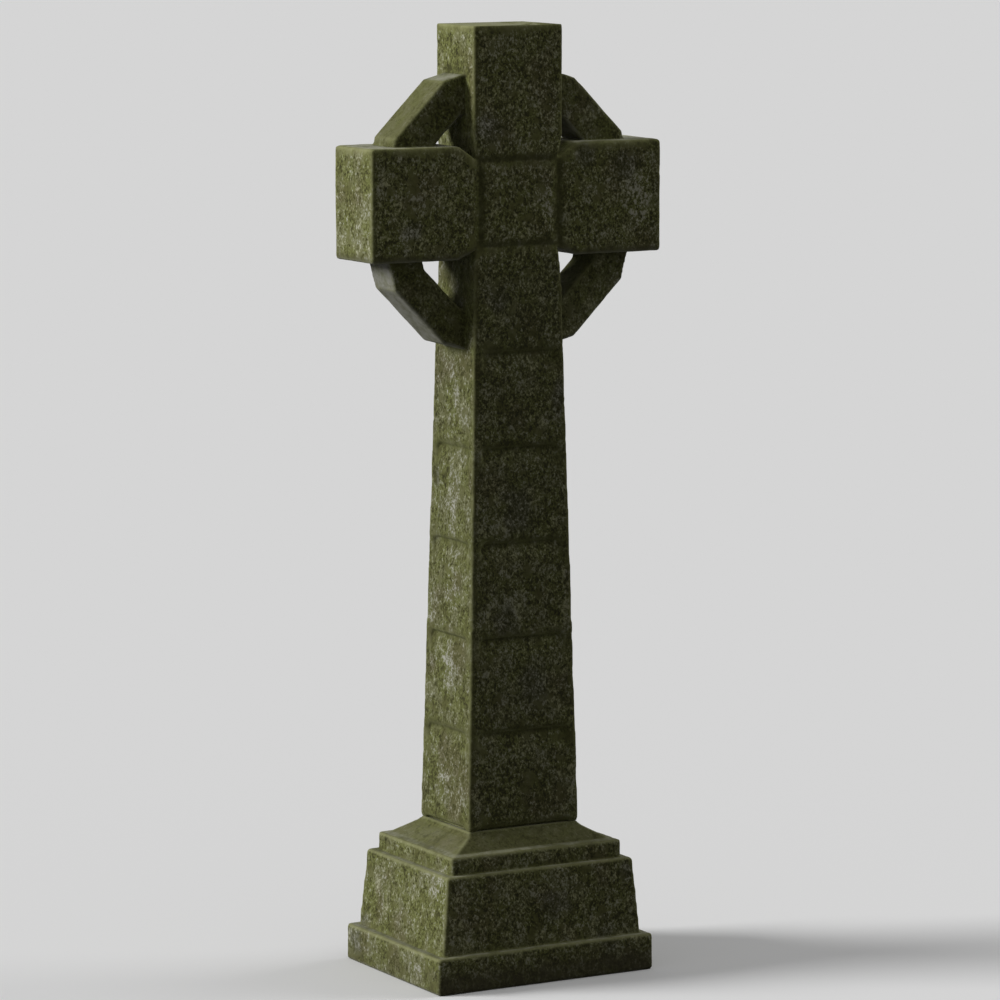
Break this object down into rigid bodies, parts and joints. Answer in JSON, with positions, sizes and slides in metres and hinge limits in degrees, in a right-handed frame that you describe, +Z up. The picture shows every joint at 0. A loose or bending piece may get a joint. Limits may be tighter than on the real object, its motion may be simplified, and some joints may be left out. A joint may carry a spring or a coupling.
{
  "type": "ringed cross memorial",
  "caption": "Stone ringed cross memorial: a tapered shaft with lapped carved courses, square arms, a straight-sided ring and a stepped, battered plinth, mossy all over.",
  "frame": {"origin": "centre of the underside of the plinth, on the ground", "axes": "+Z up; X along the arms; the front faces -Y"},
  "size_m": [0.824, 0.487, 2.4],
  "materials": {
    "cross_stone": "rough-tooled, matt, with moss and pale lichen flecks",
    "plinth_stone": "rough-tooled, matt, with moss and grey lichen flecks"
  },
  "bodies": {
    "root": {"cross": "cross_stone", "plinth": "plinth_stone"}
  },
  "joints": []
}
